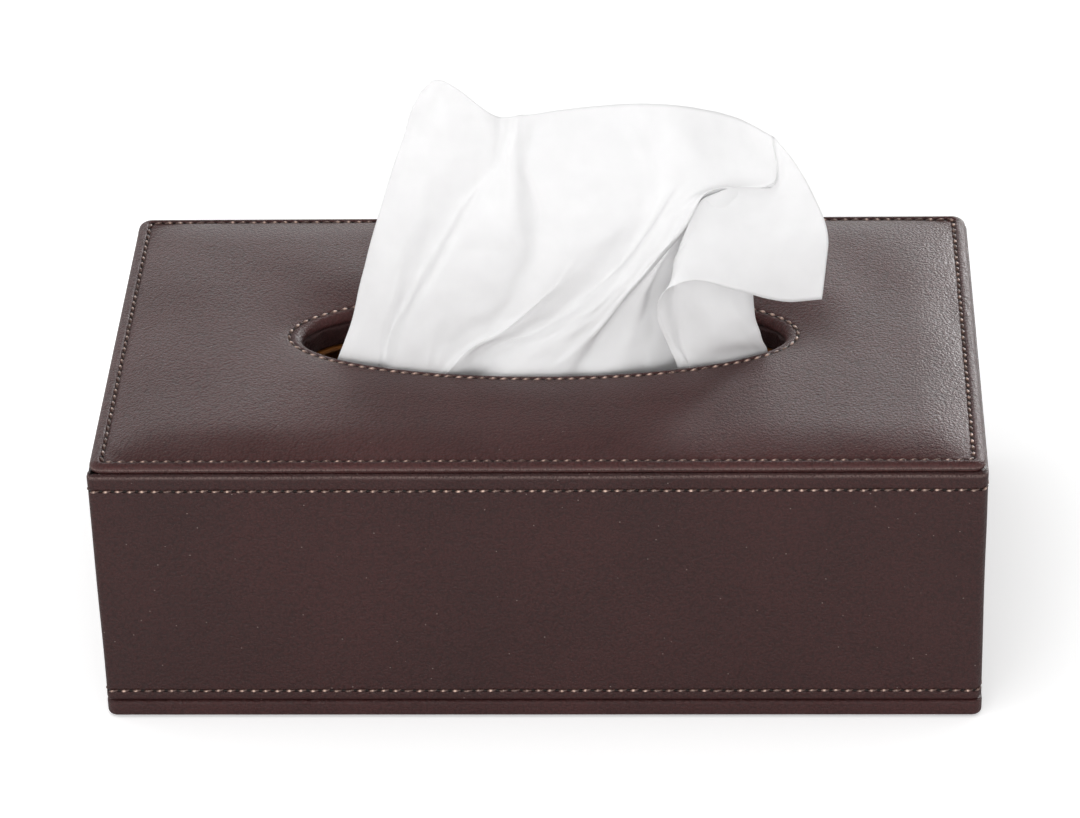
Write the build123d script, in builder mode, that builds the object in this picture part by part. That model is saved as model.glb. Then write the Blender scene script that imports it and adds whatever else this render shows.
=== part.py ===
from build123d import *
import os

# Leather-covered tissue box. The carton of tissues sits in a drawer that slides out of the left
# end. Millimetres; the origin is the middle of the underside, +X is the long way, +Z is up,
# the long stitched front faces -Y and the drawer opens towards -X.

# Driving dimensions
length = 255.0
depth = 140.0
leather = 0.8
board = 3.0
lining = 0.5
base_top = 5.95
wall_top = 84.6
panel_bottom = 84.9
panel_edge_top = 87.5
crown_top = 89.9
oval_a = 71.3
oval_b = 21.6
drawer_travel = 190.0

# Walls, worked out from the outside inwards
half_length = length / 2
half_depth = depth / 2
wall_bottom = base_top + 0.35
board_x = half_length - leather
board_y = half_depth - leather
inner_x = board_x - board
inner_y = board_y - board
room_x = inner_x - lining
room_y = inner_y - lining
corner_radius = 3.0
board_end_radius = 1.0
fold_radius = 1.8
mouth_radius = 1.2
leather_round = leather - 0.1
hem_x = -half_length + 14.0

# Base plate
felt = 0.6
felt_inset = 4.0
base_proud = 0.2
base_hem = 14.0
floor_lining_left = -half_length + 5.0
floor_lining_top = base_top + 0.4

# Carcass top and opening collar
inner_top_board_z = panel_bottom - board
inner_top_lining_z = inner_top_board_z - lining
inner_top_left = -half_length + 4.8
collar_a = oval_a - 0.3
collar_b = oval_b - 0.4
collar_wall = 1.0
collar_bottom = 78.2
collar_top = panel_bottom - 0.35

# Padded top panel
panel_inset = 0.7
panel_corner = 4.0
cover_skin = 0.6
panel_hem = 12.0
oval_hem = 8.0
panel_top_radius = 1.2
panel_foot_radius = 0.7
stitch_inset = 3.6
shoulder_inset = stitch_inset + 9.0
shoulder_top = crown_top - 0.8
table_inset = stitch_inset + 26.0
rim_top = 88.0
dip_floor_a = oval_a + 4.5
dip_floor_b = oval_b + 3.0
dip_slope_a = oval_a + 11.0
dip_slope_b = oval_b + 9.0
dip_slope_top = crown_top - 0.6
dip_mouth_a = oval_a + 26.0
dip_mouth_b = oval_b + 22.0
dip_mouth_top = crown_top + 0.2

# Drawer
running_gap = 0.5
glide_bottom = floor_lining_top + 0.05
glide_thick = 1.5
glide_y = 56.0
glide_half_width = 5.0
glide_end_gap = 5.0
floor_bottom = glide_bottom + glide_thick
floor_thick = 2.5
floor_top = floor_bottom + floor_thick
side_thick = 2.5
side_top = 46.0
tray_y = room_y - 0.7
tail_x = room_x - running_gap
front_outer = -half_length + 0.2
front_skin = 0.9
front_board_x = front_outer + front_skin
front_inner = front_board_x + board
front_back = front_inner + 0.4
front_y = room_y - running_gap
front_bottom = base_top + running_gap
front_top = panel_bottom - 0.55
notch_radius = 14.0
front_corner_radius = 1.2
side_round = 1.0
drawer_lining_thick = 0.4
drawer_lining_top = side_top - 0.4
strip_width = 8.0
strip_thick = 1.1
strip_half_y = 30.0
stop_strip_x = -half_length + 6.5
strip_clearance = 0.1
catch_strip_x = stop_strip_x + strip_width + drawer_travel + strip_clearance

# Magnets in the drawer's tail and steel discs in the end wall
magnet_y = 40.0
magnet_z = 30.0
magnet_radius = 5.0
magnet_thick = 1.5
disc_radius = 6.0
disc_thick = 1.0

# Carton and tissues
carton_x = 115.0
carton_y = 58.0
carton_wall = 0.8
carton_bottom = floor_top + drawer_lining_thick
carton_top = collar_bottom - 0.7
carton_hole_a = oval_a - 0.7
carton_hole_b = oval_b - 1.0
stack_x = 104.0
stack_y = 51.5
stack_top = 42.0
stack_round = 3.0

# The pulled tissue: heights of its plan sections
tissue_foot = carton_top + 0.5
tissue_neck = 92.0
tissue_spread = 112.0
tissue_tip = 180.0


def save(part, label):
    """Name a finished piece and write it."""
    part.label = label
    export_step(part, f"parts/{label}.step")


def block(x0, x1, y0, y1, z0, z1):
    """A box from its lowest to its highest corner, for use inside a part."""
    middle = ((x0 + x1) / 2, (y0 + y1) / 2, (z0 + z1) / 2)
    with Locations(middle):
        Box(x1 - x0, y1 - y0, z1 - z0)


os.makedirs("parts", exist_ok=True)

# Base plate: a board wrapped in leather, felt below, suede above

with BuildPart() as base_felt:
    with BuildSketch():
        RectangleRounded(length - 2 * felt_inset, depth - 2 * felt_inset, corner_radius)
    extrude(amount=felt)
save(base_felt.part, "base_felt")

with BuildPart() as base_board:
    with BuildSketch(Plane.XY.offset(felt + leather)):
        RectangleRounded(2 * board_x, 2 * board_y, corner_radius - leather)
    extrude(amount=base_top - felt - 2 * leather)
    # the middle stands up between the turned hems of the leather
    with BuildSketch(Plane.XY.offset(base_top - leather)):
        Rectangle(length - 2 * base_hem, depth - 2 * base_hem)
    extrude(amount=leather)
save(base_board.part, "base_board")

with BuildPart() as base_cover:
    with BuildSketch(Plane.XY.offset(felt)):
        RectangleRounded(length + 2 * base_proud, depth + 2 * base_proud, corner_radius)
    extrude(amount=base_top - felt)
    rims = base_cover.edges().group_by(Axis.Z)
    fillet(rims[0] + rims[-1], radius=leather_round + base_proud)
    add(base_board.part, mode=Mode.SUBTRACT)
save(base_cover.part, "base_cover")

with BuildPart() as floor_lining:
    block(floor_lining_left, room_x, -room_y, room_y, base_top, floor_lining_top)
save(floor_lining.part, "floor_lining")

with BuildPart() as stop_strip:
    block(stop_strip_x, stop_strip_x + strip_width, -strip_half_y, strip_half_y,
          floor_lining_top, floor_lining_top + strip_thick)
save(stop_strip.part, "stop_strip")

# Walls: three boards glued to the base, one leather band round the front, right end and back

with BuildPart() as end_wall_board:
    block(inner_x, board_x, -inner_y, inner_y, base_top, panel_bottom)
    with BuildSketch(Plane.YZ.offset(inner_x)):
        with Locations((-magnet_y, magnet_z), (magnet_y, magnet_z)):
            Circle(disc_radius)
    extrude(amount=disc_thick, mode=Mode.SUBTRACT)
save(end_wall_board.part, "end_wall_board")

with BuildPart() as steel_discs:
    with BuildSketch(Plane.YZ.offset(inner_x)):
        with Locations((-magnet_y, magnet_z), (magnet_y, magnet_z)):
            Circle(disc_radius)
    extrude(amount=disc_thick)
save(steel_discs.part, "steel_discs")

with BuildPart() as front_wall_board:
    block(-board_x, board_x, -board_y, -inner_y, base_top, panel_bottom)
    outer_edges = front_wall_board.edges().filter_by(Axis.Z).group_by(Axis.Y)[0]
    fillet(outer_edges.sort_by(Axis.X)[-1], radius=corner_radius - leather)
    fillet(front_wall_board.edges().filter_by(Axis.Z).sort_by(Axis.X)[0:2], radius=board_end_radius)
save(front_wall_board.part, "front_wall_board")

with BuildPart() as back_wall_board:
    add(mirror(front_wall_board.part, about=Plane.XZ))
save(back_wall_board.part, "back_wall_board")

with BuildPart() as wall_lining:
    block(hem_x, inner_x, -inner_y, inner_y, floor_lining_top, inner_top_lining_z)
    with BuildSketch(Plane.XY.offset(floor_lining_top)):
        with Locations(((hem_x + room_x) / 2, 0)):
            Rectangle(room_x - hem_x, 2 * room_y)
    extrude(amount=inner_top_lining_z - floor_lining_top, mode=Mode.SUBTRACT)
save(wall_lining.part, "wall_lining")

with BuildPart() as inner_top_board:
    block(inner_top_left, inner_x, -inner_y, inner_y, inner_top_board_z, panel_bottom)
    with BuildSketch(Plane.XY.offset(inner_top_board_z)):
        Ellipse(collar_a + collar_wall, collar_b + collar_wall)
    extrude(amount=board, mode=Mode.SUBTRACT)
save(inner_top_board.part, "inner_top_board")

with BuildPart() as inner_top_lining:
    block(inner_top_left, room_x, -room_y, room_y, inner_top_lining_z, inner_top_board_z)
    with BuildSketch(Plane.XY.offset(inner_top_lining_z)):
        Ellipse(collar_a + collar_wall, collar_b + collar_wall)
    extrude(amount=lining, mode=Mode.SUBTRACT)
save(inner_top_lining.part, "inner_top_lining")

with BuildPart() as opening_collar:
    with BuildSketch(Plane.XY.offset(collar_bottom)):
        Ellipse(collar_a + collar_wall, collar_b + collar_wall)
        Ellipse(collar_a, collar_b, mode=Mode.SUBTRACT)
    extrude(amount=collar_top - collar_bottom)
save(opening_collar.part, "opening_collar")

with BuildPart() as wall_cover:
    with BuildSketch(Plane.XY.offset(wall_bottom)) as wall_plan:
        Rectangle(length, depth)
        # the room for the drawer is cut right through the left end
        with Locations(((room_x - length) / 2, 0)):
            Rectangle(room_x + length, 2 * room_y, mode=Mode.SUBTRACT)
        fillet(wall_plan.vertices().group_by(Axis.X)[-1], radius=corner_radius)
        end_corners = wall_plan.vertices().group_by(Axis.X)[0].sort_by(Axis.Y)
        fillet(end_corners[0:4:3], radius=fold_radius)
        mouth_corners = wall_plan.vertices().filter_by_position(Axis.Y, -inner_y, inner_y)
        fillet(mouth_corners.group_by(Axis.X)[0], radius=mouth_radius)
    extrude(amount=wall_top - wall_bottom)
    rims = wall_cover.edges().group_by(Axis.Z)
    fillet(rims[0] + rims[-1], radius=leather_round)
    add(front_wall_board.part, mode=Mode.SUBTRACT)
    add(back_wall_board.part, mode=Mode.SUBTRACT)
    add(inner_top_board.part, mode=Mode.SUBTRACT)
    with BuildSketch(Plane.XY):
        with Locations(((hem_x + board_x) / 2, 0)):
            Rectangle(board_x - hem_x, 2 * inner_y)
    extrude(amount=panel_bottom, mode=Mode.SUBTRACT)
save(wall_cover.part, "wall_cover")

# Padded top panel: thin board, foam ring and leather, glued on the carcass


def panel_outline(inset):
    """The panel's rounded rectangle, drawn in by an inset from its outer edge."""
    width = length - 2 * (panel_inset + inset)
    height = depth - 2 * (panel_inset + inset)
    RectangleRounded(width, height, max(panel_corner - inset, 1.5))


def crown(lower, skin):
    """Sections of the stuffed crown from a height up, drawn in by the thickness of a skin."""
    with BuildSketch(Plane.XY.offset(lower)) as foot:
        panel_outline(stitch_inset + skin)
    with BuildSketch(Plane.XY.offset(shoulder_top - skin)) as shoulder:
        panel_outline(shoulder_inset)
    with BuildSketch(Plane.XY.offset(crown_top - skin)) as table:
        panel_outline(table_inset)
    return [foot.sketch.face(), shoulder.sketch.face(), table.sketch.face()]


def oval_dip(skin):
    """Sections of the dip that leads the crown down to the stitches round the oval."""
    with BuildSketch(Plane.XY.offset(rim_top - skin)) as floor:
        Ellipse(dip_floor_a + skin, dip_floor_b + skin)
    with BuildSketch(Plane.XY.offset(dip_slope_top - skin)) as slope:
        Ellipse(dip_slope_a, dip_slope_b)
    with BuildSketch(Plane.XY.offset(dip_mouth_top - skin)) as mouth:
        Ellipse(dip_mouth_a, dip_mouth_b)
    return [floor.sketch.face(), slope.sketch.face(), mouth.sketch.face()]


with BuildPart() as top_board:
    with BuildSketch(Plane.XY.offset(panel_bottom + cover_skin)):
        panel_outline(leather)
        Ellipse(oval_a + leather, oval_b + leather, mode=Mode.SUBTRACT)
    extrude(amount=panel_edge_top - panel_bottom - 2 * cover_skin)
    # between the hems the board reaches down to the carcass
    with BuildSketch(Plane.XY.offset(panel_bottom)):
        panel_outline(panel_hem)
        Ellipse(oval_a + oval_hem, oval_b + oval_hem, mode=Mode.SUBTRACT)
    extrude(amount=cover_skin)
save(top_board.part, "top_board")

with BuildPart() as top_foam:
    loft(crown(panel_edge_top - cover_skin, cover_skin), ruled=True)
    loft(oval_dip(cover_skin), ruled=True, mode=Mode.SUBTRACT)
    with BuildSketch(Plane.XY.offset(panel_edge_top - cover_skin)):
        Ellipse(oval_a + leather + cover_skin, oval_b + leather + cover_skin)
    extrude(amount=crown_top, mode=Mode.SUBTRACT)
save(top_foam.part, "top_foam")

with BuildPart() as top_cover:
    with BuildSketch(Plane.XY.offset(panel_bottom)):
        panel_outline(0)
    extrude(amount=panel_edge_top - panel_bottom)
    rims = top_cover.edges().group_by(Axis.Z)
    fillet(rims[-1], radius=panel_top_radius)
    fillet(rims[0], radius=panel_foot_radius)
    loft(crown(panel_edge_top, 0), ruled=True)
    loft(oval_dip(0), ruled=True, mode=Mode.SUBTRACT)
    with BuildSketch(Plane.XY.offset(panel_bottom)):
        Ellipse(oval_a, oval_b)
    extrude(amount=crown_top, mode=Mode.SUBTRACT)
    add(top_board.part, mode=Mode.SUBTRACT)
    add(top_foam.part, mode=Mode.SUBTRACT)
save(top_cover.part, "top_cover")

# Drawer: a low tray behind a leather-covered front with a half-moon finger notch

with BuildPart() as drawer_floor:
    block(front_back, tail_x, -tray_y, tray_y, floor_bottom, floor_top)
save(drawer_floor.part, "drawer_floor")

for label, inside in (("drawer_front_side", -1), ("drawer_back_side", 1)):
    with BuildPart() as drawer_side:
        outer_y = inside * tray_y
        inner_side_y = inside * (tray_y - side_thick)
        block(front_back, tail_x - side_thick, min(outer_y, inner_side_y),
              max(outer_y, inner_side_y), floor_top, side_top)
        fillet(drawer_side.edges().filter_by(Axis.X).group_by(Axis.Z)[-1], radius=side_round)
    save(drawer_side.part, label)

with BuildPart() as drawer_tail:
    block(tail_x - side_thick, tail_x, -tray_y, tray_y, floor_top, side_top)
    fillet(drawer_tail.edges().filter_by(Axis.Y).group_by(Axis.Z)[-1], radius=side_round)
    with BuildSketch(Plane.YZ.offset(tail_x - magnet_thick)):
        with Locations((-magnet_y, magnet_z), (magnet_y, magnet_z)):
            Circle(magnet_radius)
    extrude(amount=magnet_thick, mode=Mode.SUBTRACT)
save(drawer_tail.part, "drawer_tail")

with BuildPart() as drawer_magnets:
    with BuildSketch(Plane.YZ.offset(tail_x - magnet_thick)):
        with Locations((-magnet_y, magnet_z), (magnet_y, magnet_z)):
            Circle(magnet_radius)
    extrude(amount=magnet_thick)
save(drawer_magnets.part, "drawer_magnets")


def front_outline(inset):
    """The drawer front's outline with its finger notch, drawn in by an inset."""
    middle_z = (front_bottom + front_top) / 2
    with Locations((0, middle_z)):
        RectangleRounded(2 * (front_y - inset), front_top - front_bottom - 2 * inset,
                         front_corner_radius)
    with Locations((0, front_top)):
        Circle(notch_radius + inset, mode=Mode.SUBTRACT)


with BuildPart() as drawer_lining:
    block(front_inner, tail_x - side_thick, side_thick - tray_y, tray_y - side_thick,
          floor_top, drawer_lining_top)
    with BuildSketch(Plane.XY.offset(floor_top + drawer_lining_thick)):
        with Locations(((front_inner + tail_x - side_thick) / 2, 0)):
            Rectangle(tail_x - side_thick - front_inner - 2 * drawer_lining_thick,
                      2 * (tray_y - side_thick - drawer_lining_thick))
    extrude(amount=side_top, mode=Mode.SUBTRACT)
save(drawer_lining.part, "drawer_lining")

with BuildPart() as drawer_front_board:
    with BuildSketch(Plane.YZ.offset(front_board_x)):
        front_outline(leather)
    extrude(amount=board)
save(drawer_front_board.part, "drawer_front_board")

with BuildPart() as drawer_front_cover:
    with BuildSketch(Plane.YZ.offset(front_outer)):
        front_outline(0)
    extrude(amount=front_back - front_outer)
    fillet(drawer_front_cover.faces().sort_by(Axis.X)[0].edges(), radius=leather_round)
    add(drawer_front_board.part, mode=Mode.SUBTRACT)
    # the tray's own lining takes the cover's place between the sides
    with Locations(((front_inner + front_back) / 2, 0, (floor_top + drawer_lining_top) / 2)):
        Box(front_back - front_inner, 2 * (tray_y - side_thick), drawer_lining_top - floor_top,
            mode=Mode.SUBTRACT)
save(drawer_front_cover.part, "drawer_front_cover")

with BuildPart() as drawer_glides:
    for side in (-1, 1):
        block(front_back + glide_end_gap, tail_x - glide_end_gap,
              side * glide_y - glide_half_width, side * glide_y + glide_half_width,
              glide_bottom, floor_bottom)
save(drawer_glides.part, "drawer_glides")

with BuildPart() as catch_strip:
    block(catch_strip_x, catch_strip_x + strip_width, -strip_half_y, strip_half_y,
          floor_bottom - strip_thick, floor_bottom)
save(catch_strip.part, "catch_strip")

# The carton of tissues in the drawer

with BuildPart() as tissue_carton:
    block(-carton_x, carton_x, -carton_y, carton_y, carton_bottom, carton_top)
    inside_z = (carton_bottom + carton_top) / 2
    with Locations((0, 0, inside_z)):
        Box(2 * (carton_x - carton_wall), 2 * (carton_y - carton_wall),
            carton_top - carton_bottom - 2 * carton_wall, mode=Mode.SUBTRACT)
    with BuildSketch(Plane.XY.offset(inside_z)):
        Ellipse(carton_hole_a, carton_hole_b)
    extrude(amount=carton_top, mode=Mode.SUBTRACT)
save(tissue_carton.part, "tissue_carton")

with BuildPart() as tissue_stack:
    block(-stack_x, stack_x, -stack_y, stack_y, carton_bottom + carton_wall, stack_top)
    fillet(tissue_stack.edges().filter_by(Axis.X).group_by(Axis.Z)[-1], radius=stack_round)
save(tissue_stack.part, "tissue_stack")

# The tissue that stands out of the opening: plan sections lofted upwards into a thick wavy
# band, cut to the outline that it has from the front


def wavy_section(height, front, back):
    """A closed plan curve through front and back points, at a height."""
    with BuildSketch(Plane.XY.offset(height)) as section:
        with BuildLine():
            Spline(*front)
            Spline(*back)
            Line(front[0], back[0])
            Line(front[-1], back[-1])
        make_face()
    return section.sketch.face()


tissue_sections = [
    wavy_section(tissue_foot,
                 [(-64, -5), (-32, -10), (0, -11.5), (34, -10.5), (67, -3.5)],
                 [(-64, 0), (-32, -4), (0, -5), (34, -4), (67, 2)]),
    wavy_section(tissue_neck,
                 [(-64, -5), (-32, -9), (0, -9), (34, -9), (67, -4)],
                 [(-64, 2), (-32, 2), (0, 4), (34, 5), (67, 3)]),
    wavy_section(tissue_spread,
                 [(-60, -8), (-30, -15), (0, -14), (38, -22), (88, -14)],
                 [(-60, -1), (-30, -4), (0, 2), (38, 4), (88, -2)]),
    wavy_section(tissue_tip,
                 [(-60, -12), (-30, -13), (-5, -2), (38, 0), (88, -6)],
                 [(-60, -5), (-30, -5), (-5, 8), (38, 12), (88, 6)]),
]

with BuildPart() as pulled_tissue:
    loft(tissue_sections, ruled=True)
    with BuildSketch(Plane.XZ.offset(-half_depth)):
        with BuildLine():
            Polyline((-28, 177), (-34, 171), (-47.5, 126), (-56, 97), (-62, 84), (-63, 70),
                     (65.5, 70), (64.5, 84), (62.5, 103), (75, 102.5), (82.8, 103))
            Spline((82.8, 103), (84, 121), (79.5, 137), (69, 153), (54, 162))
            Spline((54, 162), (24, 166), (-11, 163))
            Line((-11, 163), (-28, 177))
        make_face()
    extrude(amount=depth, mode=Mode.INTERSECT)
save(pulled_tissue.part, "pulled_tissue")
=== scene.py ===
import bpy
import numpy as np
from mathutils import Matrix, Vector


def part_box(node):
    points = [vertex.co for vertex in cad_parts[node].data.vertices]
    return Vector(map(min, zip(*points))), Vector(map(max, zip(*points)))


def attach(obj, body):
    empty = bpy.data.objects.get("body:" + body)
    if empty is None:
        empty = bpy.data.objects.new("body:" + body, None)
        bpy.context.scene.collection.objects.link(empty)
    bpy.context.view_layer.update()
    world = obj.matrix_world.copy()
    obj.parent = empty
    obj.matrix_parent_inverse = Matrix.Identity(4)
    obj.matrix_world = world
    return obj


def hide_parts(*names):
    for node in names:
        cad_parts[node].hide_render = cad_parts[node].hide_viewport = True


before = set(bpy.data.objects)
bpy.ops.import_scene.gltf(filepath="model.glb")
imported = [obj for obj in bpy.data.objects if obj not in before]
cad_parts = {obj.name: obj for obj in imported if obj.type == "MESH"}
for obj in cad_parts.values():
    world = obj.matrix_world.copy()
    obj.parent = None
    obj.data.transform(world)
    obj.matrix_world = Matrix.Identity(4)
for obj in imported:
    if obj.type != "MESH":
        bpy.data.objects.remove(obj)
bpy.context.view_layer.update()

# --- Base plate ------------------------------------------------------------------------------
# The box stands on a board wrapped in brown grained leather with the hems glued on top under the
# walls. A sheet of black felt under it keeps it from scratching the table. The plate stands a
# hair proud of the walls and its edges are rounded by the wrapping.

PLATE_CORNER = 0.003
PLATE_EDGE = 0.0011
PLATE_HEM = 0.0138
LEATHER_THICK = 0.0008
BROWN = (0.0455, 0.0122, 0.0114)
BROWN_LOW = (0.028, 0.0076, 0.0070)
BROWN_SPECK = (0.26, 0.20, 0.18, 1.0)
# Paler colour of the rolled folds: a painted highlight, partly rubbing too.
BROWN_WORN_AND_LIT = (0.17, 0.115, 0.105, 1.0)
# Near-black colour of the pricked holes: painted shade.
HOLE_SHADE = (0.010, 0.006, 0.005, 1.0)
HOLE_ALONG = 0.22                      # half length of a pricked hole, in stitches
HOLE_ACROSS = 0.44                     # and its half width, in millimetres
CLEAR = 0.00002                        # gap that keeps two touching faces apart
NO_SEAM = 0.009                        # distance from the row where no stitch mark shows


def rounded_rectangle(half_x, half_y, radius, steps):
    """Closed outline of a rounded rectangle: four quarter circles about the corners' centres,
    joined by straight runs. steps gives the pieces of the long runs, short runs and corners, so
    outlines of different size match point for point. Returns points x 2, anticlockwise."""
    steps_x, steps_y, steps_turn = steps
    core = np.array([half_x - radius, half_y - radius])
    signs = ((1, 1), (-1, 1), (-1, -1), (1, -1))
    turn = np.linspace(0.0, np.pi / 2, steps_turn + 1)
    parts = []
    for k, sign in enumerate(signs):
        angle = turn + k * np.pi / 2
        arc = core * sign + radius * np.stack([np.cos(angle), np.sin(angle)], 1)
        count = steps_x if k % 2 == 0 else steps_y
        following = core * signs[(k + 1) % 4]
        start_angle = (k + 1) * np.pi / 2
        following = following + radius * np.array([np.cos(start_angle), np.sin(start_angle)])
        share = np.linspace(0.0, 1.0, count + 1)[1:-1, None]
        parts += [arc, arc[-1] + share * (following - arc[-1])]
    return np.concatenate(parts)


def ring(outline, height):
    """An outline of points x 2 lifted to a height, or to one height for each point."""
    return np.column_stack([outline, np.broadcast_to(height, len(outline))])


def new_piece(name, points, faces):
    """A smoothly shaded mesh object from points and faces."""
    mesh = bpy.data.meshes.new(name)
    mesh.from_pydata(points.reshape(-1, 3), [], faces)
    mesh.shade_smooth()
    piece = bpy.data.objects.new(name, mesh)
    bpy.context.scene.collection.objects.link(piece)
    return piece


def mark_points(piece, name, values):
    """Writes a number for each point of a piece as an attribute that its material reads."""
    mark = piece.data.attributes.new(name, "FLOAT", "POINT")
    mark.data.foreach_set("value", np.asarray(values, float).ravel())


def surface(name, rows, seam=None, round_rows=False, round_stations=True, caps=(), inward=False):
    """A mesh over a grid of rows x stations x 3 points, one four-sided face between each four
    neighbours, closed along the stations or the rows where asked. caps names rows filled by one
    flat face. seam is the grid's UV, with one more station where the stations are closed."""
    rows = np.asarray(rows, float)
    n_rows, n_stations = rows.shape[:2]
    r, s = np.meshgrid(np.arange(n_rows if round_rows else n_rows - 1),
                       np.arange(n_stations if round_stations else n_stations - 1), indexing="ij")
    next_r = (r + 1) % n_rows
    next_s = (s + 1) % n_stations
    corners = [(r, s), (r, next_s), (next_r, next_s), (next_r, s)]
    uv_corners = [(r, s), (r, s + 1), (next_r, s + 1), (next_r, s)]
    if inward:
        corners.reverse()
        uv_corners.reverse()
    quads = np.stack([(a * n_stations + b).ravel() for a, b in corners], 1)
    faces = quads.tolist()
    for row, facing_up in caps:
        loop = list(range(row * n_stations, (row + 1) * n_stations))
        faces.append(loop if facing_up else loop[::-1])
    piece = new_piece(name, rows, faces)
    if seam is not None:
        flat = np.stack([seam[a, b].reshape(-1, 2) for a, b in uv_corners], 1).reshape(-1, 2)
        spare = np.full((len(piece.data.loops) - len(flat), 2), 9.0)
        layer = piece.data.uv_layers.new(name="seam")
        layer.data.foreach_set("uv", np.concatenate([flat, spare]).ravel())
    return piece


class Recipe:
    """The steps that a material's recipe is made of. Each adds a node and gives its output, which
    the next step takes in place of a number or a colour."""

    def __init__(self, tree):
        self.tree = tree

    def fill(self, node, socket, value):
        """Links an output to a socket, or writes a number or a colour there."""
        if isinstance(value, bpy.types.NodeSocket):
            self.tree.links.new(value, node.inputs[socket])
        else:
            node.inputs[socket].default_value = value

    def add(self, kind, *terms, **settings):
        """A new node. Terms fill its sockets in order, settings its sockets or choices by name."""
        node = self.tree.nodes.new("ShaderNode" + kind)
        for key, value in settings.items():
            if key in node.inputs:
                self.fill(node, key, value)
            else:
                setattr(node, key, value)
        for k, value in enumerate(terms):
            self.fill(node, k, value)
        return node

    def texture(self, kind, **settings):
        """The outputs of a texture that lies on the piece's own coordinates."""
        if "Vector" not in settings:
            settings["Vector"] = self.add("TexCoord").outputs["Object"]
        return self.add(kind, **settings).outputs

    def math(self, operation, *terms):
        """A sum of numbers."""
        return self.add("Math", *terms, operation=operation).outputs[0]

    def spread(self, value, low, high, to_low=0.0, to_high=1.0):
        """A number carried from one range to another and held inside the new one."""
        return self.add("MapRange", value, low, high, to_low, to_high).outputs[0]

    def mix(self, share, low, high):
        """A share of the way from one colour to another."""
        node = self.add("Mix", share, data_type="RGBA")
        self.fill(node, 6, low)
        self.fill(node, 7, high)
        return node.outputs[2]

    def bump(self, height, strength, distance, **settings):
        """A surface normal tipped by a height."""
        node = self.add("Bump", Height=height, Strength=strength, Distance=distance, **settings)
        return node.outputs[0]

    def finish(self, colour, normal):
        """Puts the colour and the normal on the skin, and gives the material."""
        self.fill(self.skin, "Base Color", colour)
        self.fill(self.skin, "Normal", normal)
        return self.material


def new_recipe(name, colour, roughness, **settings):
    """The recipe of a new material, begun with its principled shader, the skin."""
    material = bpy.data.materials.new(name)
    material.use_nodes = True
    material.diffuse_color = colour
    recipe = Recipe(material.node_tree)
    recipe.material = material
    recipe.skin = material.node_tree.nodes["Principled BSDF"]
    recipe.fill(recipe.skin, "Base Color", colour)
    recipe.fill(recipe.skin, "Roughness", roughness)
    for socket, value in settings.items():
        recipe.fill(recipe.skin, socket.replace("_", " "), value)
    return recipe


def brown_leather(name, seam_rows=False, grain=1.0, tone=1.0, shine=0.29):
    """Fine pebble-grained brown leather: rounded cells of 0.8 mm with a finer crinkle between,
    slow changes of tone and a few pale specks. tone gives a lighter or darker copy for a piece,
    which on the base plate, the walls, the collar and the padded top is painted light and shade.
    On sewn pieces there is a pricked hole between every two stitches, drawn near black as
    painted shade (u counts stitches, v is millimetres from the row), and a paler tone where the
    wear_and_highlight attribute marks a rolled fold: a painted highlight, partly rubbing too."""
    base, low = (tuple(tone * c for c in colour) + (1.0,) for colour in (BROWN, BROWN_LOW))
    recipe = new_recipe(name, base, 0.40, Specular_IOR_Level=shine)
    crinkle = recipe.texture("TexNoise", Scale=2100.0, Detail=3.0, Roughness=0.6)
    place = recipe.add("TexCoord").outputs["Object"]
    nudged = recipe.add("VectorMath", crinkle["Color"], (0.0013, 0.0011, 0.0011), place,
                        operation="MULTIPLY_ADD").outputs[0]
    pebble = recipe.texture("TexVoronoi", feature="SMOOTH_F1", Scale=1200.0, Smoothness=0.35,
                            Vector=nudged)
    slow = recipe.texture("TexNoise", Scale=26.0, Detail=3.0, Roughness=0.55)
    height = recipe.math("MULTIPLY_ADD", pebble["Distance"], -0.9, crinkle["Fac"])
    normal = recipe.bump(height, grain, 0.00023)
    colour = recipe.mix(recipe.spread(pebble["Distance"], 0.25, 0.75), base, low)
    clouds = recipe.spread(slow["Fac"], 0.35, 0.65, 0.90, 1.10)
    colour = recipe.add("VectorMath", colour, operation="SCALE", Scale=clouds).outputs[0]
    # Pale specks scattered at random over the leather.
    speckle = recipe.texture("TexVoronoi", Scale=300.0)
    fleck = recipe.spread(speckle["Distance"], 0.030, 0.062, 1.0, 0.0)
    speck = recipe.math("MULTIPLY", fleck, recipe.math("LESS_THAN", speckle["Color"], 0.55))
    colour = recipe.mix(speck, colour, BROWN_SPECK)
    recipe.fill(recipe.skin, "Roughness", recipe.spread(crinkle["Fac"], 0.3, 0.7, 0.36, 0.50))
    if seam_rows:
        seam = recipe.add("SeparateXYZ", recipe.add("UVMap", uv_map="seam").outputs["UV"]).outputs
        along = recipe.math("MULTIPLY", recipe.math("PINGPONG", seam[0], 0.5), 1.0 / HOLE_ALONG)
        across = recipe.math("MULTIPLY", seam[1], 1.0 / HOLE_ACROSS)
        oval = recipe.add("CombineXYZ", along, across).outputs[0]
        reach = recipe.add("VectorMath", oval, operation="LENGTH").outputs["Value"]
        # Near-black pricked holes: painted shade in the holes.
        hole = recipe.spread(reach, 0.55, 1.25, 1.0, 0.0)
        colour = recipe.mix(hole, colour, HOLE_SHADE)
        normal = recipe.bump(hole, 1.0, 0.0004, invert=True, Normal=normal)
        # The rolled folds are painted paler: a painted highlight where the rounded edge catches light,
        # partly rubbing too.
        wear_and_highlight = recipe.add("Attribute", attribute_name="wear_and_highlight").outputs["Fac"]
        worn_and_lit = recipe.math("MULTIPLY", wear_and_highlight, recipe.spread(crinkle["Fac"], 0.32, 0.62))
        colour = recipe.mix(worn_and_lit, colour, BROWN_WORN_AND_LIT)
    return recipe.finish(colour, normal)


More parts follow.
